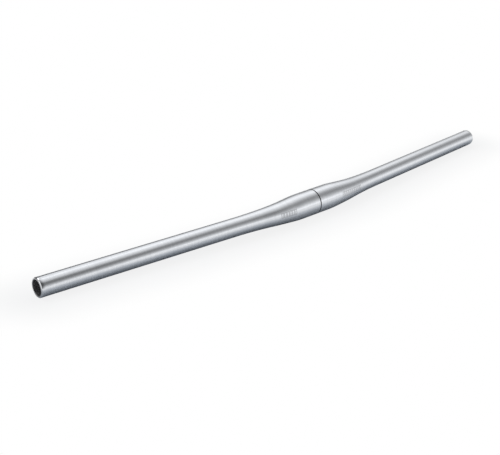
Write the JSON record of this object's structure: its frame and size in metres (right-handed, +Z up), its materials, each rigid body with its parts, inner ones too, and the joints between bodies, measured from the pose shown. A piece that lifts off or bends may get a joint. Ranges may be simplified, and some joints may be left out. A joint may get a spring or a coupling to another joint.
{
  "type": "flat handlebar",
  "caption": "Flat bicycle handlebar: a hollow aluminium tube with a thick clamp zone in the middle, tapered shoulders and arms swept slightly back.",
  "frame": {"origin": "centre of the clamp zone, on its axis", "axes": "+X along the clamp zone towards the rider's left, +Y towards the rider, the way the tips sweep, +Z up from the table that the bar lies on"},
  "size_m": [0.7622, 0.0599, 0.0318],
  "materials": {
    "brushed_aluminium": "silver, brushed round the tube, satin"
  },
  "bodies": {
    "root": {"handlebar_tube": "brushed_aluminium"}
  },
  "joints": []
}
